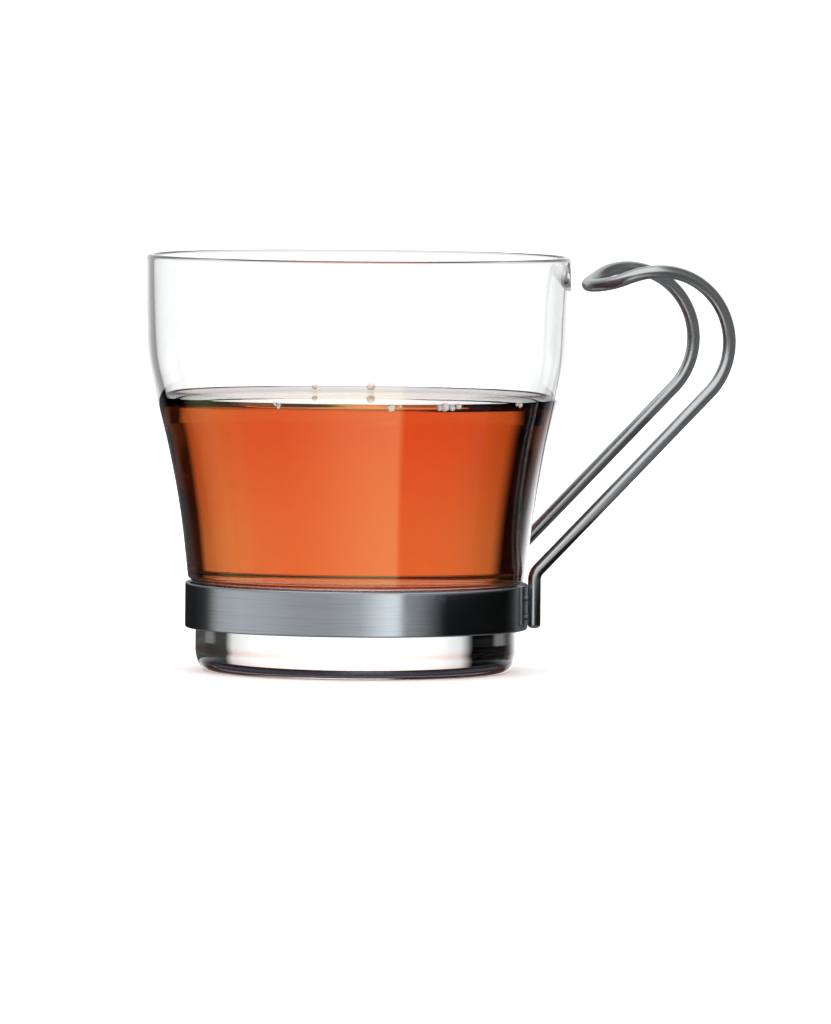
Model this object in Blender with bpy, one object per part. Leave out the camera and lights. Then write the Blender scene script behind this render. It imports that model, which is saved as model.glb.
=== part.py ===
"""Glass tea cup held in a steel band, with a bent-wire handle on the band and tea in the cup.

Lengths are in metres and +Z is up. The origin is on the cup's axis, in the plane that the cup
stands on, and the handle points along +X.
"""

import math

import bpy
import numpy as np

MM = 0.001
GAP = 0.3 * MM  # left between pieces that touch each other
AROUND = 48  # facets round the cup's axis

# The cup: a thick foot, a waist that the band grips, and a wall that swells out to a straight collar.
CUP_HEIGHT = 78.3 * MM
FLOOR_HEIGHT = 16.6 * MM
FOOT_RADIUS = 30.3 * MM
FOOT_ROUND = MM * np.array((2.6, 4.2))  # how far the foot's rounded edge reaches in and up
WAIST_RADIUS = 31.2 * MM
WAIST_TOP = 16.9 * MM
INNER_CORNER = 4.0 * MM
WALL_AT_CORNER = 2.2 * MM
WALL_AT_RIM = 1.2 * MM
WALL_STEP = 4.2 * MM  # between the wall's rings of facets
OUTER_WALL = MM * np.array(  # height and outer radius
    [(17.7, 31.80), (30.0, 33.30), (42.0, 35.60), (52.0, 38.05), (59.0, 39.50), (66.0, 39.85), (77.7, 40.00)]
)

# The tea: its level, and how it climbs the glass.
TEA_LEVEL = 50.5 * MM
TEA_CLIMB = 1.3 * MM
TEA_CLIMB_REACH = 1.1 * MM

# The band: a hoop of sheet steel.
BAND_BOTTOM = 8.1 * MM
BAND_TOP = 16.6 * MM
BAND_RADIUS = 32.3 * MM
BAND_SHEET = 0.8 * MM
BAND_EDGE_ROUND = 0.2 * MM

# The handle: one wire, bent double. Each leg stands against the band, leans out, bulges over and
# runs back to the hairpin that joins the two.
WIRE_RADIUS = 1.25 * MM
WIRE_SIDES = 10
LEG_HALF_SPACING = 12.8 * MM
LEG_BOTTOM = 8.5 * MM
LEG_BEND_RADIUS = 2.6 * MM
SLOPE = math.radians(45.3)
BULGE_RADIUS = 13.4 * MM
BULGE_CENTRE = MM * np.array((55.5, 62.3))  # x and z
HAIRPIN_START = math.radians(82.0)  # round the bulge, from +X
BULGE_END = math.radians(117.0)
TIP_SLOPE = math.radians(12.0)


def arc(centre, radius, start, end, count):
    """Points (r, z) on an arc about centre, from angle start to angle end, measured from +r."""
    turn = np.linspace(start, end, count)
    return centre + radius * np.stack([np.cos(turn), np.sin(turn)], axis=1)


def outer_radius(height):
    """The wall's outer radius: a smooth cubic through the points of OUTER_WALL, upright at the rim."""
    z, r = OUTER_WALL.T
    slope = np.gradient(r, z)
    slope[-1] = 0.0
    i = np.clip(np.searchsorted(z, height) - 1, 0, len(z) - 2)
    span = z[i + 1] - z[i]
    t = np.clip((height - z[i]) / span, 0.0, 1.0)
    between = (3 * t**2 - 2 * t**3) * (r[i + 1] - r[i])
    bend = (t**3 - 2 * t**2 + t) * slope[i] + (t**3 - t**2) * slope[i + 1]
    return r[i] + between + bend * span


def inner_radius(height):
    """The wall's inner radius: the outer one less a thickness that falls evenly up to the rim."""
    corner_top = FLOOR_HEIGHT + INNER_CORNER
    share = np.clip((height - corner_top) / (OUTER_WALL[-1, 0] - corner_top), 0.0, 1.0)
    return outer_radius(height) - WALL_AT_CORNER - (WALL_AT_RIM - WALL_AT_CORNER) * share


def inside_outline(top, gap=0.0):
    """The cup's inside, from the middle of its floor out round the corner and up to height top."""
    corner_top = FLOOR_HEIGHT + INNER_CORNER
    corner_centre = np.array((inner_radius(corner_top) - INNER_CORNER, corner_top))
    corner = arc(corner_centre, INNER_CORNER - gap, -math.pi / 2, 0.0, 7)
    z = np.append(np.arange(corner_top + WALL_STEP, top - WALL_STEP / 2, WALL_STEP), top)
    wall = np.stack([inner_radius(z) - gap, z], axis=1)
    return np.concatenate([[(0.0, FLOOR_HEIGHT + gap)], corner, wall])


def cup_outline():
    """The cup's half section: up its inside, over the rounded rim and down its outside."""
    rim_height, rim_radius = OUTER_WALL[-1]
    rim_round = CUP_HEIGHT - rim_height
    rim = arc((rim_radius - rim_round, rim_height), rim_round, math.pi, 0.0, 5)
    z = np.linspace(rim_height, OUTER_WALL[0, 0], 15)[1:]
    wall = np.stack([outer_radius(z), z], axis=1)
    waist = [(WAIST_RADIUS, WAIST_TOP), (FOOT_RADIUS, BAND_BOTTOM)]
    foot = arc((FOOT_RADIUS - FOOT_ROUND[0], FOOT_ROUND[1]), FOOT_ROUND, 0.0, -math.pi / 2, 5)
    return np.concatenate([inside_outline(rim_height)[:-1], rim, wall, waist, foot, [(0.0, 0.0)]])


def tea_outline():
    """The tea's half section: from the middle of its surface out to the glass, then down to the floor."""
    contact = TEA_LEVEL + TEA_CLIMB
    from_glass = np.linspace(2.4, 0.3, 5)[:-1] ** 2 * MM
    surface_radius = inner_radius(contact) - GAP - from_glass
    surface_height = TEA_LEVEL + TEA_CLIMB * np.exp(-from_glass / TEA_CLIMB_REACH)
    surface = np.stack([surface_radius, surface_height], axis=1)
    return np.concatenate([[(0.0, TEA_LEVEL)], surface, inside_outline(contact, GAP)[::-1]])


def band_outline():
    """The band's section: an upright strip with rounded edges, closed at its inner top corner."""
    inner, outer = BAND_RADIUS - BAND_SHEET + BAND_EDGE_ROUND, BAND_RADIUS - BAND_EDGE_ROUND
    low, high = BAND_BOTTOM + BAND_EDGE_ROUND, BAND_TOP - BAND_EDGE_ROUND
    corners = [(inner, high), (outer, high), (outer, low), (inner, low)]
    starts = [math.pi, math.pi / 2, 0.0, -math.pi / 2]
    rounds = [arc(c, BAND_EDGE_ROUND, a, a - math.pi / 2, 2) for c, a in zip(corners, starts)]
    return np.concatenate(rounds + [rounds[0][:1]])


def turned(name, outline):
    """A solid of revolution about +Z, from an outline that runs down its outer side."""
    mesh = bpy.data.meshes.new(name)
    points = [(r, 0.0, z) for r, z in outline.tolist()]
    mesh.from_pydata(points, [(i, i + 1) for i in range(len(points) - 1)], [])
    solid = bpy.data.objects.new(name, mesh)
    bpy.context.scene.collection.objects.link(solid)
    turn = solid.modifiers.new("turn", "SCREW")
    turn.steps = turn.render_steps = AROUND
    turn.use_merge_vertices = True
    turn.merge_threshold = 0.001 * MM
    turn.use_smooth_shade = True
    return solid


def side_of_leg():
    """One leg's centre line seen from the side (x, z), from beside the band to where the hairpin starts."""
    off_axis = BAND_RADIUS + GAP + WIRE_RADIUS
    leg_x = math.sqrt(off_axis**2 - LEG_HALF_SPACING**2)
    bulge_start = BULGE_CENTRE + BULGE_RADIUS * np.array((math.sin(SLOPE), -math.cos(SLOPE)))
    corner_z = bulge_start[1] - (bulge_start[0] - leg_x) * math.tan(SLOPE)
    turn = math.pi / 2 - SLOPE
    bend_centre = (leg_x + LEG_BEND_RADIUS, corner_z - LEG_BEND_RADIUS * math.tan(turn / 2))
    bend = arc(bend_centre, LEG_BEND_RADIUS, math.pi, math.pi - turn, 5)
    straight = np.linspace(bend[-1], bulge_start, 4)[1:-1]
    bulge = arc(BULGE_CENTRE, BULGE_RADIUS, SLOPE - math.pi / 2, HAIRPIN_START, 17)
    return np.concatenate([[(leg_x, LEG_BOTTOM)], bend, straight, bulge])


def side_of_hairpin(length):
    """The centre line (x, z) at that length into the hairpin: on round the bulge, then levelling out."""
    bulge_length = BULGE_RADIUS * (BULGE_END - HAIRPIN_START)
    on_bulge = np.minimum(length, bulge_length)
    turn = HAIRPIN_START + on_bulge / BULGE_RADIUS
    start = BULGE_CENTRE[:, None] + BULGE_RADIUS * np.stack([np.cos(turn), np.sin(turn)])
    beyond = length - on_bulge
    levelled = beyond / (LEG_HALF_SPACING - bulge_length)
    steepest = BULGE_END - math.pi / 2
    mean_slope = steepest + (TIP_SLOPE - steepest) * levelled / 2
    return (start - beyond * np.stack([np.cos(mean_slope), np.sin(mean_slope)])).T


def wire_handle():
    """The wire: up the leg at -y, round the hairpin, which is a half circle laid on the bulge, and back."""
    side = side_of_leg()
    near = np.insert(side, 1, -LEG_HALF_SPACING, axis=1)
    turn = np.linspace(0.0, math.pi, 21)[1:-1]
    tip = side_of_hairpin(LEG_HALF_SPACING * np.sin(turn))
    hairpin = np.insert(tip, 1, -LEG_HALF_SPACING * np.cos(turn), axis=1)
    route = np.concatenate([near, hairpin, near[::-1] * (1.0, -1.0, 1.0)])
    curve = bpy.data.curves.new("wire_handle", "CURVE")
    curve.dimensions = "3D"
    curve.bevel_depth = WIRE_RADIUS
    curve.bevel_resolution = WIRE_SIDES // 2 - 2
    curve.use_fill_caps = True
    spline = curve.splines.new("POLY")
    spline.points.add(len(route) - 1)
    spline.points.foreach_set("co", np.insert(route, 3, 1.0, axis=1).ravel())
    spline.use_smooth = True
    wire = bpy.data.objects.new("wire_handle", curve)
    bpy.context.scene.collection.objects.link(wire)
    return wire


def finish(solid, colour, roughness, **values):
    """Gives the solid a material of its own. values are further sockets, with _ for each space."""
    material = bpy.data.materials.new(solid.name)
    material.use_nodes = True
    shader = material.node_tree.nodes["Principled BSDF"]
    shader.inputs["Base Color"].default_value = (*colour, 1.0)
    shader.inputs["Roughness"].default_value = roughness
    for socket, value in values.items():
        shader.inputs[socket.replace("_", " ")].default_value = value
    solid.data.materials.append(material)


for leftover in list(bpy.data.objects):
    bpy.data.objects.remove(leftover)

finish(turned("glass_cup", cup_outline()), (0.97, 0.99, 0.98), 0.0, Transmission_Weight=1.0, IOR=1.52)
finish(turned("tea", tea_outline()), (0.86, 0.24, 0.06), 0.0, Transmission_Weight=0.9, IOR=1.33)
finish(turned("steel_band", band_outline()), (0.56, 0.57, 0.58), 0.28, Metallic=1.0)
finish(wire_handle(), (0.60, 0.61, 0.62), 0.18, Metallic=1.0)
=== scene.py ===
"""A glass cup of tea in a steel band, with a bent-wire handle, on a white studio floor."""

import math

import bpy
import numpy as np
from mathutils import Matrix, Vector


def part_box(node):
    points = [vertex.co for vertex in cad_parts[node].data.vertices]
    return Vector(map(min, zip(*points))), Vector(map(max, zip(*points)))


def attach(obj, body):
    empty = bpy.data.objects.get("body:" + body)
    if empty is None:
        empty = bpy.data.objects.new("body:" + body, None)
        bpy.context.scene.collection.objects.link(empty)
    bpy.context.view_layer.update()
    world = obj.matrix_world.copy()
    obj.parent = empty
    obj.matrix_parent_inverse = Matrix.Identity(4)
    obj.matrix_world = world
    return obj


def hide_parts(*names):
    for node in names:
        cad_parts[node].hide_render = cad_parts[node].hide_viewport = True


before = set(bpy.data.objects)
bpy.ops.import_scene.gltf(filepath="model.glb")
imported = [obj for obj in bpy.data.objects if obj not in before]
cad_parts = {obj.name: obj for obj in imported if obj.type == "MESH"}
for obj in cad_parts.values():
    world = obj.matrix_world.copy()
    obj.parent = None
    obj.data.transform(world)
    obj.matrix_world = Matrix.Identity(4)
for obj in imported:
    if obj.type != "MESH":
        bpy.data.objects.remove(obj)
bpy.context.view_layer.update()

MM = 0.001

# The cup is one piece of clear pressed glass: a thick foot, a waist for the band to grip, and a
# wall that swells out to a straight collar and a fire-polished rim. It stands on its flat foot.

CUP_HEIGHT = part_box("glass_cup")[1].z
RIM_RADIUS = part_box("glass_cup")[1].x
RIM_ROUND = 0.6 * MM
FLOOR_HEIGHT = 16.6 * MM
INNER_CORNER = 4.0 * MM
WALL_AT_CORNER = 2.2 * MM
WALL_AT_RIM = 1.2 * MM
OUTER_WALL = MM * np.array(  # height and outer radius
    [(17.7, 31.80), (30.0, 33.30), (42.0, 35.60), (52.0, 38.05), (59.0, 39.50), (66.0, 39.85), (77.7, 40.00)]
)
WAIST_RADIUS = 31.2 * MM
WAIST_TOP = 16.9 * MM
BAND_SEAT_BOTTOM = 8.1 * MM
FOOT_RADIUS = 30.3 * MM
FOOT_ROUND = np.array((2.6, 4.2)) * MM  # how far its rounding reaches inwards and up
PUNT_RADIUS = 24.0 * MM
PUNT_DEPTH = 0.3 * MM
CUP_AROUND = 256


def arc(centre, radius, start, end, count):
    """Points (r, z) on an arc about centre, from angle start to angle end, measured from +r."""
    turn = np.linspace(start, end, count)
    return centre + radius * np.stack([np.cos(turn), np.sin(turn)], axis=1)


def outer_radius(height):
    """The wall's outer radius: a smooth cubic through the points of OUTER_WALL, upright at the rim."""
    z, r = OUTER_WALL.T
    slope = np.gradient(r, z)
    slope[-1] = 0.0
    i = np.clip(np.searchsorted(z, height) - 1, 0, len(z) - 2)
    span = z[i + 1] - z[i]
    t = np.clip((height - z[i]) / span, 0.0, 1.0)
    between = (3 * t**2 - 2 * t**3) * (r[i + 1] - r[i])
    bend = (t**3 - 2 * t**2 + t) * slope[i] + (t**3 - t**2) * slope[i + 1]
    return r[i] + between + bend * span


def inner_radius(height):
    """The wall's inner radius: the outer one less a thickness that falls evenly up to the rim."""
    corner_top = FLOOR_HEIGHT + INNER_CORNER
    share = np.clip((height - corner_top) / (OUTER_WALL[-1, 0] - corner_top), 0.0, 1.0)
    return outer_radius(height) - WALL_AT_CORNER - (WALL_AT_RIM - WALL_AT_CORNER) * share


def inside_outline(top, into_glass=0.0):
    """The cup's inside, from the floor's middle out round the corner and up to height top."""
    corner_top = FLOOR_HEIGHT + INNER_CORNER
    corner_centre = np.array((inner_radius(corner_top) - INNER_CORNER, corner_top))
    corner = arc(corner_centre, INNER_CORNER + into_glass, -math.pi / 2, 0.0, 24)
    floor_r = np.linspace(0.0, corner[0, 0], 9)[1:-1]
    floor = np.stack([floor_r, np.full_like(floor_r, FLOOR_HEIGHT - into_glass)], axis=1)
    z = np.linspace(corner_top, top, 70)[1:]
    wall = np.stack([inner_radius(z) + into_glass, z], axis=1)
    return np.concatenate([floor, corner, wall])


def cup_outline():
    """The cup's half section: up its inside, over the rounded rim, down its outside and in under the foot.
    The shoulder over the band is an S: half a cosine wave from the waist out to the wall. The foot's
    underside rises in a shallow punt, half a cosine wave deep."""
    rim_height = CUP_HEIGHT - RIM_ROUND
    rim = arc((RIM_RADIUS - RIM_ROUND, rim_height), RIM_ROUND, math.pi, 0.0, 17)
    z = np.linspace(rim_height, OUTER_WALL[0, 0], 90)[1:]
    wall = np.stack([outer_radius(z), z], axis=1)
    share = np.linspace(0.0, 1.0, 12)[1:]
    shoulder_r = WAIST_RADIUS + (OUTER_WALL[0, 1] - WAIST_RADIUS) * (1 + np.cos(math.pi * share)) / 2
    shoulder_z = OUTER_WALL[0, 0] + (WAIST_TOP - OUTER_WALL[0, 0]) * share
    seat_z = np.linspace(WAIST_TOP, BAND_SEAT_BOTTOM, 7)[1:-1]
    seat_r = np.interp(seat_z, [BAND_SEAT_BOTTOM, WAIST_TOP], [FOOT_RADIUS, WAIST_RADIUS])
    side_z = np.linspace(BAND_SEAT_BOTTOM, FOOT_ROUND[1], 5)[:-1]
    foot = arc((FOOT_RADIUS - FOOT_ROUND[0], FOOT_ROUND[1]), FOOT_ROUND, 0.0, -math.pi / 2, 24)
    punt_r = np.linspace(PUNT_RADIUS, 0.0, 18)[:-1]
    punt_z = PUNT_DEPTH * (1 + np.cos(math.pi * punt_r / PUNT_RADIUS)) / 2
    return np.concatenate([
        inside_outline(rim_height)[:-1],
        rim,
        wall,
        np.stack([shoulder_r, shoulder_z], axis=1),
        np.stack([seat_r, seat_z], axis=1),
        np.stack([np.full_like(side_z, FOOT_RADIUS), side_z], axis=1),
        foot,
        np.stack([punt_r, punt_z], axis=1),
    ])


def skin(name, grid, ends=None):
    """A closed mesh over a grid of points (rows, columns, xyz). Each face joins four neighbours. The
    columns run round. The rows run round too, or fans close the first and last into the points ends."""
    rows, columns = grid.shape[:2]
    index = np.arange(rows * columns).reshape(rows, columns)
    if ends is None:
        index = np.concatenate([index, index[:1]])
    beside = np.roll(index, -1, axis=1)
    faces = np.stack([index[:-1], index[1:], beside[1:], beside[:-1]], axis=-1).reshape(-1, 4).tolist()
    points = grid.reshape(-1, 3)
    if ends is not None:
        first, last = len(points), len(points) + 1
        points = np.concatenate([points, ends])
        faces += np.stack([np.full(columns, first), index[0], beside[0]], axis=-1).tolist()
        faces += np.stack([np.full(columns, last), beside[-1], index[-1]], axis=-1).tolist()
    mesh = bpy.data.meshes.new(name)
    mesh.from_pydata(points.tolist(), [], faces)
    mesh.shade_smooth()
    piece = bpy.data.objects.new(name, mesh)
    bpy.context.scene.collection.objects.link(piece)
    return piece


def turned(name, outline, around, middle=None):
    """An outline (r, z) carried round +Z: x = r cos a, y = r sin a. middle holds the heights where the
    outline's two ends close on the axis; without it the outline is a loop."""
    turn = 2 * math.pi * np.arange(around) / around
    r, z = outline[:, :1], outline[:, 1:]
    grid = np.stack([r * np.cos(turn), r * np.sin(turn), z + 0 * turn], axis=-1)
    ends = None if middle is None else [(0.0, 0.0, middle[0]), (0.0, 0.0, middle[1])]
    return skin(name, grid, ends)


def put(tree, kind, feeds=None, **settings):
    """A new node of that kind. feeds gives its inputs, each a value or another node's output."""
    node = tree.nodes.new(kind)
    for setting, value in settings.items():
        setattr(node, setting, value)
    for key, feed in (feeds or {}).items():
        if isinstance(feed, bpy.types.NodeSocket):
            tree.links.new(feed, node.inputs[key])
        else:
            node.inputs[key].default_value = feed
    return node


def new_material(name, **values):
    """A material with one Principled BSDF. values are its sockets, with _ for each space."""
    material = bpy.data.materials.new(name)
    material.use_nodes = True
    shader = material.node_tree.nodes["Principled BSDF"]
    for socket, value in values.items():
        shader.inputs[socket.replace("_", " ")].default_value = value
    return material, material.node_tree, shader


def smudge_group():
    """Handling marks: a mask that is 1 in soft patches of a given size and 0 between them."""
    group = bpy.data.node_groups.new("handling_marks", "ShaderNodeTree")
    group.interface.new_socket("Place", in_out="INPUT", socket_type="NodeSocketVector")
    patches = group.interface.new_socket("Patches per metre", in_out="INPUT", socket_type="NodeSocketFloat")
    patches.default_value = 60.0
    group.interface.new_socket("Mask", in_out="OUTPUT", socket_type="NodeSocketFloat")
    inside = put(group, "NodeGroupInput")
    patch = put(group, "ShaderNodeTexNoise", {
        "Vector": inside.outputs["Place"], "Scale": inside.outputs["Patches per metre"],
        "Detail": 5.0, "Roughness": 0.62, "Distortion": 0.4,
    })
    mask = put(group, "ShaderNodeMapRange", {
        "Value": patch.outputs["Fac"], "From Min": 0.5, "From Max": 0.72,
    }, interpolation_type="SMOOTHSTEP")
    put(group, "NodeGroupOutput", {"Mask": mask.outputs["Result"]})
    return group


HANDLING_MARKS = smudge_group()


def clear_glass():
    """Pressed glass: almost colourless, with the faint waviness of the mould and a few handling marks."""
    material, tree, glass = new_material(
        "clear_glass", Base_Color=(0.985, 0.99, 0.99, 1.0), Roughness=0.0, IOR=1.5, Transmission_Weight=1.0
    )
    place = put(tree, "ShaderNodeTexCoord").outputs["Object"]
    marks = put(tree, "ShaderNodeGroup", {
        "Place": place, "Patches per metre": 70.0,
    }, node_tree=HANDLING_MARKS)
    roughness = put(tree, "ShaderNodeMapRange", {"Value": marks.outputs["Mask"], "To Max": 0.0035})
    tree.links.new(roughness.outputs["Result"], glass.inputs["Roughness"])
    waves = put(tree, "ShaderNodeTexNoise", {"Vector": place, "Scale": 55.0, "Detail": 1.0})
    bump = put(tree, "ShaderNodeBump", {
        "Height": waves.outputs["Fac"], "Strength": 0.25, "Distance": 0.1 * MM,
    })
    tree.links.new(bump.outputs["Normal"], glass.inputs["Normal"])
    return material


cup = turned("clear_cup", cup_outline(), CUP_AROUND, middle=(FLOOR_HEIGHT, PUNT_DEPTH))
cup.data.materials.append(clear_glass())
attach(cup, "root")
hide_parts("glass_cup")

# The tea is a clear amber brew poured to about half the cup's height. It wets the glass, so its
# edge climbs the wall, and it reaches a hair into the wall so that no air shows between the two.

TEA_LEVEL = 50.5 * MM
TEA_CLIMB = 1.3 * MM
TEA_CLIMB_REACH = 1.1 * MM
INTO_GLASS = 0.08 * MM
LEVEL_FROM = 6 * TEA_CLIMB_REACH  # from the glass, where the climb has died away
TEA_ABSORBS = np.array((7.0, 39.5, 71.0))  # red, green and blue light, per metre


def tea_outline():
    """The tea's half section: out along its surface, whose height over the level is an exponential of
    the distance to the glass, then down the wall to the floor's middle."""
    contact = TEA_LEVEL + TEA_CLIMB
    edge_radius = inner_radius(contact) + INTO_GLASS
    from_glass = np.concatenate([
        np.linspace(edge_radius, LEVEL_FROM, 18)[1:-1],
        LEVEL_FROM * np.linspace(1.0, 0.0, 40)[:-1] ** 2,
    ])
    surface_z = TEA_LEVEL + TEA_CLIMB * np.exp(-from_glass / TEA_CLIMB_REACH)
    surface = np.stack([edge_radius - from_glass, surface_z], axis=1)
    return np.concatenate([surface, inside_outline(contact, INTO_GLASS)[::-1]])


def amber_tea():
    """Brewed tea: it takes out most blue, much green and little red, so deep tea is redder than shallow.
    Absorption is what the colour leaves out, times the density. Faint swirls stir the surface."""
    material, tree, tea = new_material(
        "amber_tea", Base_Color=(1.0, 1.0, 1.0, 1.0), Roughness=0.0, IOR=1.33, Transmission_Weight=1.0
    )
    density = 1.03 * TEA_ABSORBS.max()
    colour = 1.0 - TEA_ABSORBS / density
    brew = put(tree, "ShaderNodeVolumeAbsorption", {"Color": (*colour, 1.0), "Density": density})
    tree.links.new(brew.outputs["Volume"], tree.nodes["Material Output"].inputs["Volume"])
    place = put(tree, "ShaderNodeTexCoord").outputs["Object"]
    swirl = put(tree, "ShaderNodeTexNoise", {
        "Vector": place, "Scale": 90.0, "Detail": 2.0, "Distortion": 0.6,
    })
    bump = put(tree, "ShaderNodeBump", {
        "Height": swirl.outputs["Fac"], "Strength": 0.15, "Distance": 0.05 * MM,
    })
    tree.links.new(bump.outputs["Normal"], tea.inputs["Normal"])
    return material


tea = turned("tea_brew", tea_outline(), CUP_AROUND, middle=(TEA_LEVEL, FLOOR_HEIGHT - INTO_GLASS))
tea.data.materials.append(amber_tea())
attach(tea, "root")
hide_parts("tea")

# Froth beads are bubbles left over from pouring: thin skins of tea round air, white with the light that
# they catch. They sit half sunk against the glass at the tea's edge, some alone and some in a row.

CAMERA_AZIMUTH = math.radians(-14.0)  # of the photograph's viewpoint, from -y
BEAD_TALL = 0.92  # a bead's height over its width
BEAD_OFF_GLASS = 0.75  # radii from the glass to a bead's middle
BEAD_UP_CLIMB = 0.7  # how far up the tea's climb its middle sits, before its lift
BEADS = [  # angle round the cup from the viewpoint in degrees, positive to its right; radius and lift in mm
    (-24.4, 0.45, 0.25), (-23.4, 0.4, -0.3), (10.0, 0.78, -0.2), (12.6, 0.35, 0.1), (24.8, 0.5, -0.35),
    (26.6, 0.9, -0.1), (28.9, 0.6, -0.3), (31.0, 0.6, 0.0), (53.5, 0.35, 0.1), (55.3, 0.55, 0.0),
    (176.3, 0.85, 0.3), (193.9, 0.55, 0.2),
]


def froth():
    """A bubble's skin with light caught in it: part clear, part milky, patchy as froth is."""
    material, tree, skin_of_bead = new_material(
        "froth", Base_Color=(1.0, 0.93, 0.9, 1.0), Roughness=0.1, IOR=1.33, Transmission_Weight=0.3
    )
    place = put(tree, "ShaderNodeTexCoord").outputs["Object"]
    patch = put(tree, "ShaderNodeTexNoise", {"Vector": place, "Scale": 2200.0, "Detail": 3.0})
    tint = put(tree, "ShaderNodeMix", {
        "Factor": patch.outputs["Fac"], "A": (1.0, 0.88, 0.84, 1.0), "B": (1.0, 0.98, 0.96, 1.0),
    }, data_type="RGBA")
    bump = put(tree, "ShaderNodeBump", {
        "Height": patch.outputs["Fac"], "Strength": 0.4, "Distance": 0.05 * MM,
    })
    tree.links.new(tint.outputs["Result"], skin_of_bead.inputs["Base Color"])
    tree.links.new(bump.outputs["Normal"], skin_of_bead.inputs["Normal"])
    return material


def bead_of_froth(name, angle, radius, lift):
    """A slightly flattened ball: at angle a down from its top its section is (radius sin a, BEAD_TALL
    radius cos a). It is moved to the tea's edge at that angle round the cup, and raised by lift."""
    down = np.linspace(0.0, math.pi, 20)[1:-1, None]
    outline = radius * np.concatenate([np.sin(down), BEAD_TALL * np.cos(down)], axis=1)
    ball = turned(name, outline, 32, middle=(BEAD_TALL * radius, -BEAD_TALL * radius))
    off_axis = inner_radius(TEA_LEVEL + TEA_CLIMB) - BEAD_OFF_GLASS * radius
    turn = math.radians(angle) + CAMERA_AZIMUTH - math.pi / 2
    middle_z = TEA_LEVEL + BEAD_UP_CLIMB * TEA_CLIMB + lift
    ball.data.transform(Matrix.Translation((off_axis * math.cos(turn), off_axis * math.sin(turn), middle_z)))
    return ball


froth_material = froth()
for number, (angle, radius, lift) in enumerate(BEADS, 1):
    bead = bead_of_froth(f"froth_bead_{number}", angle, radius * MM, lift * MM)
    bead.data.materials.append(froth_material)
    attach(bead, "root")

# The band is a strip of stainless steel sheet rolled into a hoop that grips the glass's waist. It is
# brushed along its length, and its edges are rounded over.

BAND_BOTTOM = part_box("steel_band")[0].z
BAND_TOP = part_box("steel_band")[1].z
BAND_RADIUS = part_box("steel_band")[1].x
BAND_SHEET = 0.8 * MM
BAND_EDGE_ROUND = 0.3 * MM


def band_outline():
    """The band's section: an upright strip with rounded edges, as a loop that runs down its outer side."""
    inner, outer = BAND_RADIUS - BAND_SHEET + BAND_EDGE_ROUND, BAND_RADIUS - BAND_EDGE_ROUND
    low, high = BAND_BOTTOM + BAND_EDGE_ROUND, BAND_TOP - BAND_EDGE_ROUND
    corners = [(inner, high), (outer, high), (outer, low), (inner, low)]
    starts = [math.pi, math.pi / 2, 0.0, -math.pi / 2]
    sides = [arc(c, BAND_EDGE_ROUND, a, a - math.pi / 2, 8) for c, a in zip(corners, starts)]
    down = np.linspace(high, low, 16)[1:-1]
    outside = np.stack([np.full_like(down, BAND_RADIUS), down], axis=1)
    inside = np.stack([np.full_like(down, BAND_RADIUS - BAND_SHEET), down[::-1]], axis=1)
    return np.concatenate([sides[0], sides[1], outside, sides[2], sides[3], inside])


def drawn_lines_group():
    """Fine lines left by brushing or drawing: noise stretched by the vector Stretch, in lines per metre
    across and along the grain. It puts out a height for Bump and a mask of the stronger lines."""
    group = bpy.data.node_groups.new("drawn_lines", "ShaderNodeTree")
    group.interface.new_socket("Place", in_out="INPUT", socket_type="NodeSocketVector")
    group.interface.new_socket("Stretch", in_out="INPUT", socket_type="NodeSocketVector")
    group.interface.new_socket("Height", in_out="OUTPUT", socket_type="NodeSocketFloat")
    group.interface.new_socket("Strong lines", in_out="OUTPUT", socket_type="NodeSocketFloat")
    inside = put(group, "NodeGroupInput")
    stretched = put(group, "ShaderNodeVectorMath", {
        0: inside.outputs["Place"], 1: inside.outputs["Stretch"],
    }, operation="MULTIPLY")
    lines = put(group, "ShaderNodeTexNoise", {
        "Vector": stretched.outputs["Vector"], "Scale": 1.0, "Detail": 6.0, "Roughness": 0.7,
    })
    strong = put(group, "ShaderNodeMapRange", {
        "Value": lines.outputs["Fac"], "From Min": 0.52, "From Max": 0.7,
    })
    put(group, "NodeGroupOutput", {
        "Height": lines.outputs["Fac"], "Strong lines": strong.outputs["Result"],
    })
    return group


DRAWN_LINES = drawn_lines_group()


def brushed_steel():
    """Stainless sheet brushed along the hoop: level lines, a little rougher where they are strong."""
    material, tree, steel = new_material(
        "brushed_steel", Base_Color=(0.5, 0.51, 0.52, 1.0), Metallic=1.0, Roughness=0.2
    )
    place = put(tree, "ShaderNodeTexCoord").outputs["Object"]
    lines = put(tree, "ShaderNodeGroup", {
        "Place": place, "Stretch": (60.0, 60.0, 9000.0),
    }, node_tree=DRAWN_LINES)
    marks = put(tree, "ShaderNodeGroup", {
        "Place": place, "Patches per metre": 45.0,
    }, node_tree=HANDLING_MARKS)
    worn = put(tree, "ShaderNodeMath", {
        0: lines.outputs["Strong lines"], 1: 0.5, 2: marks.outputs["Mask"],
    }, operation="MULTIPLY_ADD")
    roughness = put(tree, "ShaderNodeMapRange", {
        "Value": worn.outputs["Value"], "To Min": 0.12, "To Max": 0.24,
    })
    tint = put(tree, "ShaderNodeMix", {
        "Factor": lines.outputs["Strong lines"], "A": (0.52, 0.57, 0.61, 1.0), "B": (0.36, 0.4, 0.43, 1.0),
    }, data_type="RGBA")
    bump = put(tree, "ShaderNodeBump", {
        "Height": lines.outputs["Height"], "Strength": 0.5, "Distance": 0.016 * MM,
    })
    tree.links.new(roughness.outputs["Result"], steel.inputs["Roughness"])
    tree.links.new(tint.outputs["Result"], steel.inputs["Base Color"])
    tree.links.new(bump.outputs["Normal"], steel.inputs["Normal"])
    return material


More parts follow.
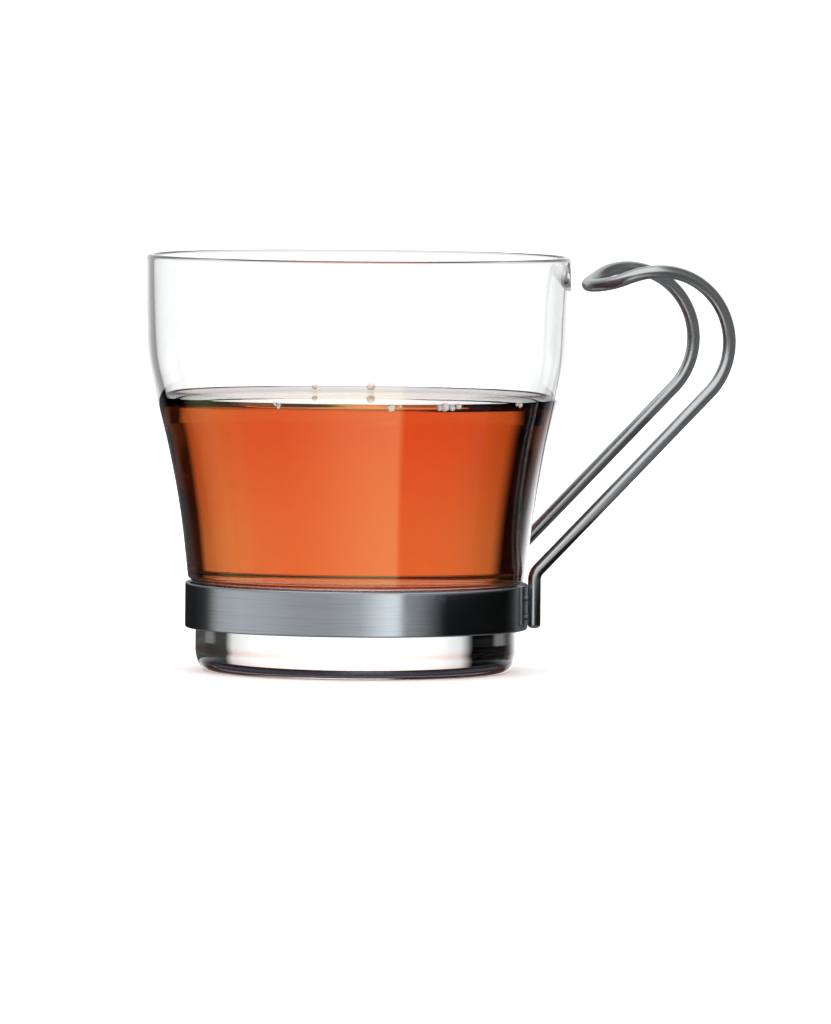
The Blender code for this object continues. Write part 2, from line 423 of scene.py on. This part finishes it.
band = turned("steel_hoop", band_outline(), CUP_AROUND)
band.data.materials.append(brushed_steel())
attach(band, "root")
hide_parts("steel_band")

# The handle is one stainless wire, bent double: two legs stand against the band, lean out side by
# side, bulge over and run back to the hairpin that joins them. It is drawn wire, polished.

WIRE_RADIUS = 1.23 * MM  # a hair under the frame's, whose sides are flat
LEG_HALF_SPACING = 12.8 * MM
LEG_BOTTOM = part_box("wire_handle")[0].z
LEG_BEND_RADIUS = 2.6 * MM
LEG_GAP = 0.3 * MM  # to the band
SLOPE = math.radians(45.3)
BULGE_RADIUS = 13.4 * MM
BULGE_CENTRE = MM * np.array((55.5, 62.3))  # x and z
HAIRPIN_START = math.radians(82.0)  # round the bulge, from +X
BULGE_END = math.radians(117.0)
TIP_SLOPE = math.radians(12.0)
END_ROUND = 0.7 * MM
WIRE_AROUND = 40
END_RINGS = 7
LEG_RINGS = 260
HAIRPIN_RINGS = 80


def wire_side():
    """The wire's side view, as its heading along its length: straight stretches keep the heading and
    bends turn it evenly. It gives the length where the hairpin starts, and a function from length to
    the point (x, z) and the heading, which adds up the steps (cos, sin) of the heading."""
    leg_x = math.sqrt((BAND_RADIUS + LEG_GAP + WIRE_RADIUS) ** 2 - LEG_HALF_SPACING**2)
    bulge_start = BULGE_CENTRE + BULGE_RADIUS * np.array((math.sin(SLOPE), -math.cos(SLOPE)))
    corner_z = bulge_start[1] - (bulge_start[0] - leg_x) * math.tan(SLOPE)
    lean = math.pi / 2 - SLOPE
    bend_z = corner_z - LEG_BEND_RADIUS * math.tan(lean / 2)
    bend_end = (leg_x + LEG_BEND_RADIUS * (1 - math.cos(lean)), bend_z + LEG_BEND_RADIUS * math.sin(lean))
    bulge_turn = HAIRPIN_START + math.pi / 2 - SLOPE
    to_hairpin = [bend_z - LEG_BOTTOM, LEG_BEND_RADIUS * lean]
    to_hairpin += [math.dist(bend_end, bulge_start), BULGE_RADIUS * bulge_turn]
    past_it = BULGE_RADIUS * (BULGE_END - HAIRPIN_START)
    knots = np.cumsum([0.0, *to_hairpin, past_it, LEG_HALF_SPACING - past_it])
    headings = [math.pi / 2, math.pi / 2, SLOPE, SLOPE]
    headings += [HAIRPIN_START + math.pi / 2, BULGE_END + math.pi / 2, math.pi + TIP_SLOPE]
    fine = np.linspace(0.0, knots[-1], 6000)
    middle = np.interp((fine[1:] + fine[:-1]) / 2, knots, headings)
    steps = np.diff(fine)[:, None] * np.stack([np.cos(middle), np.sin(middle)], axis=1)
    points = (leg_x, LEG_BOTTOM) + np.concatenate([[(0.0, 0.0)], np.cumsum(steps, axis=0)])

    def at(length):
        x = np.interp(length, fine, points[:, 0])
        z = np.interp(length, fine, points[:, 1])
        return x, z, np.interp(length, knots, headings)

    return knots[4], at


def wire_grid():
    """The wire's surface: a ring about each point of its route. The hairpin is a half circle laid on the
    bulge: after turn t it is LEG_HALF_SPACING sin t further along the side view and at
    y = -LEG_HALF_SPACING cos t. At each end the rings shrink as a quarter of an ellipse."""
    leg_length, side = wire_side()
    quarter = np.linspace(0.0, math.pi / 2, END_RINGS + 1)[:0:-1]
    dome = END_ROUND * (1 - np.sin(quarter))
    leg = np.concatenate([dome, np.linspace(END_ROUND, leg_length, LEG_RINGS)])
    leg_radius = WIRE_RADIUS * np.concatenate([np.cos(quarter), np.ones(LEG_RINGS)])
    turn = np.linspace(0.0, math.pi, HAIRPIN_RINGS + 2)[1:-1]
    length = np.concatenate([leg, leg_length + LEG_HALF_SPACING * np.sin(turn), leg[::-1]])
    turned_by = np.concatenate([0 * leg, turn, 0 * leg + math.pi])
    ring_radius = np.concatenate([leg_radius, np.full(HAIRPIN_RINGS, WIRE_RADIUS), leg_radius[::-1]])
    x, z, heading = side(length)
    centre = np.stack([x, -LEG_HALF_SPACING * np.cos(turned_by), z], axis=1)
    ahead = np.stack([np.cos(heading), 0 * heading, np.sin(heading)], axis=1) * np.cos(turned_by)[:, None]
    ahead[:, 1] = np.sin(turned_by)
    off_side = np.stack([-np.sin(heading), 0 * heading, np.cos(heading)], axis=1)
    across = np.cross(off_side, ahead)
    round_it = 2 * math.pi * np.arange(WIRE_AROUND)[:, None] / WIRE_AROUND
    ring = np.cos(round_it) * off_side[:, None] + np.sin(round_it) * across[:, None]
    grid = centre[:, None] + ring_radius[:, None, None] * ring
    travelled = np.concatenate([[0.0], np.cumsum(np.linalg.norm(np.diff(centre, axis=0), axis=1))])
    return grid, centre[[0, -1]], travelled


def polished_wire():
    """Drawn stainless wire, polished: fine lines along it, and a few handling marks."""
    material, tree, steel = new_material(
        "polished_wire", Base_Color=(0.58, 0.6, 0.61, 1.0), Metallic=1.0, Roughness=0.24
    )
    along = put(tree, "ShaderNodeAttribute", attribute_name="along_wire").outputs["Vector"]
    lines = put(tree, "ShaderNodeGroup", {
        "Place": along, "Stretch": (5.0, 5.0, 120.0),
    }, node_tree=DRAWN_LINES)
    place = put(tree, "ShaderNodeTexCoord").outputs["Object"]
    marks = put(tree, "ShaderNodeGroup", {
        "Place": place, "Patches per metre": 160.0,
    }, node_tree=HANDLING_MARKS)
    roughness = put(tree, "ShaderNodeMapRange", {
        "Value": marks.outputs["Mask"], "To Min": 0.24, "To Max": 0.34,
    })
    bump = put(tree, "ShaderNodeBump", {
        "Height": lines.outputs["Height"], "Strength": 0.4, "Distance": 0.02 * MM,
    })
    tree.links.new(roughness.outputs["Result"], steel.inputs["Roughness"])
    tree.links.new(bump.outputs["Normal"], steel.inputs["Normal"])
    return material


wire_rings, wire_ends, wire_travelled = wire_grid()
wire = skin("bent_wire", wire_rings, wire_ends)
ring_turn = 2 * math.pi * np.arange(WIRE_AROUND) / WIRE_AROUND
along_wire = np.zeros((len(wire.data.vertices), 3))
along_wire[:-2, 0] = np.tile(np.cos(ring_turn), len(wire_travelled))
along_wire[:-2, 1] = np.tile(np.sin(ring_turn), len(wire_travelled))
along_wire[:-2, 2] = np.repeat(wire_travelled, WIRE_AROUND)
wire.data.attributes.new("along_wire", "FLOAT_VECTOR", "POINT").data.foreach_set("vector", along_wire.ravel())
wire.data.materials.append(polished_wire())
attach(wire, "root")
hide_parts("wire_handle")

# Each leg is spot welded to the band at two heights. The steel melted there and set again as a small
# rippled bead, duller than the sheet, which fills the gap between leg and band.

WELD_HEIGHTS = (10.6 * MM, 14.2 * MM)
WELD_SIZE = np.array((0.4, 0.42, 0.6)) * MM  # half its length outwards, along the band and up


def weld_bead(name, side, height):
    """A ball stretched to WELD_SIZE, between leg and band, with shallow ripples round it: at angle b down
    from its top and a round it, its reach is sin b (1 + 0.03 sin 9a sin b)."""
    down = np.linspace(0.0, math.pi, 22)[1:-1, None]
    turn = 2 * math.pi * np.arange(36) / 36
    reach = np.sin(down) * (1 + 0.03 * np.sin(9 * turn) * np.sin(down))
    ball = np.stack([reach * np.cos(turn), reach * np.sin(turn), np.cos(down) + 0 * turn], axis=-1)
    bead = skin(name, ball * WELD_SIZE, [(0.0, 0.0, WELD_SIZE[2]), (0.0, 0.0, -WELD_SIZE[2])])
    leg_x = math.sqrt((BAND_RADIUS + LEG_GAP + WIRE_RADIUS) ** 2 - LEG_HALF_SPACING**2)
    turn_out = math.atan2(side * LEG_HALF_SPACING, leg_x)
    off_axis = BAND_RADIUS + LEG_GAP / 2
    bead.data.transform(
        Matrix.Translation((off_axis * math.cos(turn_out), off_axis * math.sin(turn_out), height))
        @ Matrix.Rotation(turn_out, 4, "Z")
    )
    return bead


def weld_steel():
    """Steel that melted and set again: duller than the sheet, with a grain and a straw-coloured tint."""
    material, tree, steel = new_material("weld_steel", Metallic=1.0, Roughness=0.38)
    place = put(tree, "ShaderNodeTexCoord").outputs["Object"]
    grain = put(tree, "ShaderNodeTexNoise", {"Vector": place, "Scale": 4000.0, "Detail": 4.0})
    tint = put(tree, "ShaderNodeMix", {
        "Factor": grain.outputs["Fac"], "A": (0.34, 0.33, 0.32, 1.0), "B": (0.52, 0.49, 0.44, 1.0),
    }, data_type="RGBA")
    bump = put(tree, "ShaderNodeBump", {
        "Height": grain.outputs["Fac"], "Strength": 0.4, "Distance": 0.03 * MM,
    })
    tree.links.new(tint.outputs["Result"], steel.inputs["Base Color"])
    tree.links.new(bump.outputs["Normal"], steel.inputs["Normal"])
    return material


weld_material = weld_steel()
for number, (side, height) in enumerate([(s, z) for s in (-1, 1) for z in WELD_HEIGHTS], 1):
    bead = weld_bead(f"leg_weld_{number}", side, height)
    bead.data.materials.append(weld_material)
    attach(bead, "root")

# The studio: a white floor, and a white backdrop behind the cup between dark screens. Low cards stand
# close round the cup for it to mirror, warm at its front left and pale behind it at the right. A softbox
# hangs at the upper left. Only mirror reflections see the cards, so they light nothing else.

FLOOR_HALF = 3.0
FLOOR_DROP = 0.05 * MM  # under the foot, so that the two never share a plane
SKY = 1.2
SKY_ON_FLOOR = 1.8
ROOM = 0.2
SOFTBOX = 1.15
CARD_RADIUS = 62 * MM
CARD_BOTTOM = -6 * MM
CARD_TOP = 46.5 * MM
CARD_ENDS = math.radians(158.0)
CARD_STEPS = 120
WARM_CARD = (0.87, 0.93, 0.4, 1.0)
PALE_CARD = (1.0, 0.97, 1.0, 1.0)
PALE_CARD_FROM = 0.27  # turns off the front
EDGE_LEAN = 99 / 360  # turns per metre of height, of the warm card's right edge
WIRE_CARD_FROM = 18 * MM  # over this height steel mirrors the card set for the wire's slopes
DIM_BELOW_TABLE = (0.6, 0.57, 0.6, 1.0)
REDDER = (1.0, 0.82, 0.76, 1.0)
DIM_CEILING = (0.26, 0.25, 0.28, 1.0)
FAINT_VEIL = (0.15, 0.13, 0.17, 1.0)


def studio_floor():
    """A level white sheet with the faintest grain."""
    material, tree, paint = new_material("white_floor", Roughness=0.6, Specular_IOR_Level=0.2)
    place = put(tree, "ShaderNodeTexCoord").outputs["Object"]
    grain = put(tree, "ShaderNodeTexNoise", {"Vector": place, "Scale": 900.0, "Detail": 3.0})
    colour = put(tree, "ShaderNodeMix", {
        "Factor": grain.outputs["Fac"], "A": (0.955, 0.955, 0.95, 1.0), "B": (0.975, 0.975, 0.97, 1.0),
    }, data_type="RGBA")
    tree.links.new(colour.outputs["Result"], paint.inputs["Base Color"])
    mesh = bpy.data.meshes.new("white_floor")
    corners = FLOOR_HALF * np.array([(-1, -1, 0), (1, -1, 0), (1, 1, 0), (-1, 1, 0)])
    mesh.from_pydata(corners.tolist(), [], [(0, 1, 2, 3)])
    mesh.materials.append(material)
    floor = bpy.data.objects.new("white_floor", mesh)
    bpy.context.scene.collection.objects.link(floor)
    floor.location.z = -FLOOR_DROP
    floor.visible_glossy = False
    floor.visible_transmission = False
    return floor


def grey(value):
    """An even grey of that brightness."""
    return (value, value, value, 1.0)


def maths(tree, operation, *values):
    """The outcome of one operation on numbers or on other nodes' outputs."""
    return put(tree, "ShaderNodeMath", dict(enumerate(values)), operation=operation).outputs["Value"]


def blend(tree, factor, a, b, how="MIX"):
    """a where factor is 0, and b (or a times b, or a plus b) where it is 1."""
    node = put(tree, "ShaderNodeMix", {"Factor": factor, "A": a, "B": b}, data_type="RGBA", blend_type=how)
    return node.outputs["Result"]


def above(tree, value, limit, soft):
    """1 where value is over the limit and 0 under it, with an edge that is 2 soft wide."""
    node = put(tree, "ShaderNodeMapRange", {
        "Value": value, "From Min": limit - soft, "From Max": limit + soft,
    })
    return node.outputs["Result"]


def ramp(tree, round_the_cup, stops):
    """Brightness by the angle round the cup in degrees, 0 towards the camera and 90 to its right."""
    node = put(tree, "ShaderNodeValToRGB", {"Fac": round_the_cup})
    elements = node.color_ramp.elements
    while len(elements) < len(stops):
        elements.new(0.5)
    for element, (angle, value) in zip(elements, stops):
        element.position = angle / 360 + 0.5
        element.color = grey(value)
    return node.outputs["Color"]


def round_cup(tree, vector):
    """The angle of a place or direction round the cup, from 0 to 1 with 0.5 towards the camera, and how
    far it reaches to the camera's right, towards the camera and up."""
    facing = put(tree, "ShaderNodeVectorRotate", {
        "Vector": vector, "Angle": -CAMERA_AZIMUTH,
    }, rotation_type="Z_AXIS")
    reach = put(tree, "ShaderNodeSeparateXYZ", {"Vector": facing.outputs["Vector"]}).outputs
    towards = maths(tree, "MULTIPLY", reach["Y"], -1.0)
    angle = maths(tree, "ARCTAN2", reach["X"], towards)
    return maths(tree, "MULTIPLY_ADD", angle, 1 / (2 * math.pi), 0.5), reach["X"], towards, reach["Z"]


def card_glow():
    """What the cards show. Glass, whose mirror rays are sharp, sees the warm and the pale card. Steel sees
    a brightness set for the band, and higher up one set for the wire's slopes."""
    material = bpy.data.materials.new("mirrored_cards")
    material.use_nodes = True
    tree = material.node_tree
    tree.nodes.clear()
    turn, _, _, height = round_cup(tree, put(tree, "ShaderNodeTexCoord").outputs["Object"])
    leaning = maths(tree, "MULTIPLY_ADD", height, EDGE_LEAN, turn)
    off_front = maths(tree, "ABSOLUTE", maths(tree, "SUBTRACT", turn, 0.5))
    colour = blend(tree, above(tree, off_front, PALE_CARD_FROM, 0.01), WARM_CARD, PALE_CARD)
    glass_sees = blend(tree, 1.0, colour, ramp(tree, leaning, [
        (-180, 0.1), (-115, 0.1), (-105, 0), (-86, 0), (-82, 0.3), (-69, 0.9), (-49, 0.45), (-32, 0.5),
        (-17, 1.1), (-3, 2.0), (11, 2.7), (22.2, 2.9), (22.7, 0.02), (107, 0.0), (116, 0.3), (123, 1.3),
        (130, 2.0), (180, 2.0),
    ]), "MULTIPLY")
    band_sees = ramp(tree, turn, [
        (-180, 0.01), (-110, 0.02), (-97, 0.04), (-92, 0.1), (-81, 0.56), (-65, 0.7), (-45, 0.61), (-29, 0.5),
        (-13, 0.49), (2, 0.64), (15, 1.22), (22, 1.24), (23.5, 0.4), (31, 0.34), (38, 0.17), (46, 0.012),
        (63, 0.008), (95, 0.004), (104, 0.03), (109, 0.17), (113, 0.16), (118, 0.1), (180, 0.3),
    ])
    wire_sees = ramp(tree, turn, [
        (-180, 0.3), (-60, 0.3), (0, 0.75), (45, 0.8), (75, 0.3), (100, 0.1), (180, 0.1),
    ])
    steel_sees = blend(tree, above(tree, height, WIRE_CARD_FROM, 2.5 * MM), band_sees, wire_sees)
    sharp = put(tree, "ShaderNodeLightPath").outputs["Is Singular Ray"]
    glow = put(tree, "ShaderNodeEmission", {"Color": blend(tree, sharp, steel_sees, glass_sees)})
    clear = put(tree, "ShaderNodeBsdfTransparent")
    side = put(tree, "ShaderNodeMixShader", {
        "Fac": put(tree, "ShaderNodeNewGeometry").outputs["Backfacing"],
        1: glow.outputs["Emission"], 2: clear.outputs["BSDF"],
    })
    put(tree, "ShaderNodeOutputMaterial", {"Surface": side.outputs["Shader"]})
    material.cycles.emission_sampling = "NONE"
    return material


def mirrored_cards():
    """The cards, as one upright arc x = CARD_RADIUS cos a, y = CARD_RADIUS sin a that is open behind the
    cup. It glows inwards and is clear from outside."""
    angle = np.linspace(-CARD_ENDS, CARD_ENDS, CARD_STEPS + 1) - math.pi / 2 + CAMERA_AZIMUTH
    ring = np.stack([CARD_RADIUS * np.cos(angle), CARD_RADIUS * np.sin(angle)], axis=1)
    points = np.concatenate([np.insert(ring, 2, CARD_BOTTOM, axis=1), np.insert(ring, 2, CARD_TOP, axis=1)])
    low = np.arange(CARD_STEPS)
    high = low + len(ring)
    faces = np.stack([low, high, high + 1, low + 1], axis=1)
    mesh = bpy.data.meshes.new("mirrored_cards")
    mesh.from_pydata(points.tolist(), [], faces.tolist())
    mesh.materials.append(card_glow())
    cards = bpy.data.objects.new("mirrored_cards", mesh)
    bpy.context.scene.collection.objects.link(cards)
    cards.visible_camera = cards.visible_diffuse = cards.visible_transmission = cards.visible_shadow = False
    return cards


def seen_through_glass(tree, turn, right, up, unreflected):
    """The backdrop between its dark screens, dimmed below the table's far edge. Rays that fall, or that
    were reflected, also see the narrow gap in each screen. Rays that rise see the backdrop a little
    redder, and steep ones see the dim ceiling."""
    screens = ramp(tree, turn, [
        (-180, 1.45), (-170, 1.42), (-163, 1.3), (-157, 1.1), (-153, 0.92), (-150.5, 0.85), (-145.5, 0.0),
        (-80, 0.02), (-72, 0.8), (72, 0.8), (80, 0.03), (138, 0.05), (142, 0.8),
        (146, 0.95), (153, 1.15), (160, 1.3), (170, 1.42), (180, 1.45),
    ])
    gaps = ramp(tree, turn, [
        (-180, 0.0), (-133, 0.0), (-130, 0.2), (-124, 0.2), (-119, 0.03), (-80, 0.0), (80, 0.0),
        (117, 0.0), (121, 0.18), (127, 0.18), (131, 0.0), (180, 0.0),
    ])
    no_gaps = maths(tree, "MULTIPLY", unreflected, above(tree, up, -0.01, 0.02))
    screens = blend(tree, no_gaps, blend(tree, 1.0, screens, gaps, "ADD"), screens)
    over_table = maths(tree, "MULTIPLY_ADD", maths(tree, "ABSOLUTE", right), 0.22, up)
    dimmed = blend(tree, above(tree, over_table, -0.105, 0.02), grey(0.66), grey(1.0))
    dimmed = blend(tree, above(tree, up, -0.32, 0.08), DIM_BELOW_TABLE, dimmed)
    behind = blend(tree, 1.0, screens, dimmed, "MULTIPLY")
    rising = maths(tree, "MULTIPLY", unreflected, above(tree, up, 0.09, 0.04))
    behind = blend(tree, 1.0, behind, blend(tree, rising, grey(1.0), REDDER), "MULTIPLY")
    return blend(tree, above(tree, up, 0.24, 0.03), behind, DIM_CEILING)


def mirrored_by_glass(tree, turn, up):
    """The backdrop at the back, a dim room at the front, white overhead and dark underneath."""
    backdrop = ramp(tree, turn, [
        (-180, SKY), (-125, SKY), (-115, ROOM), (115, ROOM), (125, SKY), (140, 1.5), (180, 1.5),
    ])
    overhead = blend(tree, above(tree, up, 0.2, 0.1), backdrop, grey(1.0))
    return blend(tree, above(tree, up, -0.24, 0.08), grey(0.03), overhead)


def mirrored_by_steel(tree, turn, up):
    """A dim horizon, and over it the softbox from the left round to the front and the backdrop behind."""
    horizon = ramp(tree, turn, [
        (-180, 0.14), (-120, 0.2), (-60, 0.3), (-20, 0.16), (30, 0.12), (90, 0.2), (140, 0.13), (180, 0.14),
    ])
    softbox = ramp(tree, turn, [
        (-180, 0.8), (-140, 0.7), (-120, 0.4), (-95, SOFTBOX), (0, SOFTBOX), (35, ROOM), (105, 0.12),
        (140, 0.6), (180, 0.8),
    ])
    return blend(tree, above(tree, up, 0.08, 0.07), horizon, softbox)


def turned_back_inside(tree, turn, towards, up, behind):
    """What rays see that were reflected inside the glass or the tea before they left it: the backdrop at
    the back and dark screens elsewhere, with a faint veil where they fall steeply to the front. Rising
    ones see what shows through the glass at the back, and a dim room at the front."""
    level = ramp(tree, turn, [
        (-180, 1.2), (-172, 1.1), (-167, 0.0), (-150, 0.0), (-140, 0.02), (-95, 0.02), (140, 0.03),
        (150, 0.5), (159, 0.6), (166, 1.2), (180, 1.3),
    ])
    to_front = maths(tree, "GREATER_THAN", towards, 0.0)
    falling = maths(tree, "SUBTRACT", 1.0, above(tree, up, -0.09, 0.02))
    level = blend(tree, maths(tree, "MULTIPLY", to_front, falling), level, FAINT_VEIL)
    rising = blend(tree, to_front, behind, grey(0.15))
    return blend(tree, above(tree, up, 0.01, 0.02), level, rising)


def studio_light():
    """The light from all round, told apart by how each ray has come: straight to the camera, through the
    glass, off glass or off steel, turned back inside the glass, or scattered by the floor or froth."""
    world = bpy.data.worlds.new("studio")
    bpy.context.scene.world = world
    world.use_nodes = True
    world.cycles.sampling_method = "NONE"
    tree = world.node_tree
    turn, right, towards, up = round_cup(tree, put(tree, "ShaderNodeTexCoord").outputs["Generated"])
    path = put(tree, "ShaderNodeLightPath").outputs
    reflected = maths(tree, "GREATER_THAN", path["Glossy Depth"], 0.5)
    unreflected = maths(tree, "SUBTRACT", 1.0, reflected)
    mirrored = maths(tree, "MAXIMUM", maths(tree, "SUBTRACT", reflected, path["Is Transmission Ray"]), 0.0)
    turned_back = maths(tree, "MULTIPLY", reflected, path["Is Transmission Ray"])
    scattered = maths(tree, "GREATER_THAN", path["Diffuse Depth"], 0.5)
    behind = seen_through_glass(tree, turn, right, up, unreflected)
    off_steel = mirrored_by_steel(tree, turn, up)
    off_glass = mirrored_by_glass(tree, turn, up)
    light = blend(tree, mirrored, behind, blend(tree, path["Is Singular Ray"], off_steel, off_glass))
    light = blend(tree, turned_back, light, turned_back_inside(tree, turn, towards, up, behind))
    light = blend(tree, path["Is Camera Ray"], light, grey(SKY))
    light = blend(tree, scattered, light, grey(SKY_ON_FLOOR))
    tree.links.new(light, tree.nodes["Background"].inputs["Color"])


studio_floor()
mirrored_cards()
studio_light()

# The camera stands far off and a little above the rim, looking slightly down, as in the photograph.
# Its long lens keeps the cup's sides almost free of perspective.

CAMERA_DISTANCE = 2.2
CAMERA_HEIGHT = 140 * MM
AIM_RIGHT = 11.0 * MM
AIM_HEIGHT = 30.0 * MM
ROLL = math.radians(0.5)
PICTURE_HEIGHT = 192.76 * MM  # what the picture takes in at the aim point
SENSOR = 36.0


def photo_camera():
    """The camera, CAMERA_DISTANCE back from its aim, level but for a small roll, with a lens that takes in
    PICTURE_HEIGHT there."""
    data = bpy.data.cameras.new("photo_camera")
    data.sensor_width = SENSOR
    data.lens = SENSOR * CAMERA_DISTANCE / PICTURE_HEIGHT
    data.clip_end = 50.0
    camera = bpy.data.objects.new("photo_camera", data)
    bpy.context.scene.collection.objects.link(camera)
    bpy.context.scene.camera = camera
    right = np.array((math.cos(CAMERA_AZIMUTH), math.sin(CAMERA_AZIMUTH), 0.0))
    back = np.array((math.sin(CAMERA_AZIMUTH), -math.cos(CAMERA_AZIMUTH), 0.0))
    aim = right * AIM_RIGHT + (0.0, 0.0, AIM_HEIGHT)
    place = right * AIM_RIGHT + back * CAMERA_DISTANCE + (0.0, 0.0, CAMERA_HEIGHT)
    away = (aim - place) / np.linalg.norm(aim - place)
    up = np.cross(right, away)
    across = math.cos(ROLL) * right + math.sin(ROLL) * up
    pose = np.eye(4)
    pose[:3] = np.stack([across, np.cross(across, away), -away, place], axis=1)
    camera.matrix_world = Matrix(pose.tolist())


photo_camera()
bpy.context.scene.view_settings.view_transform = "Standard"
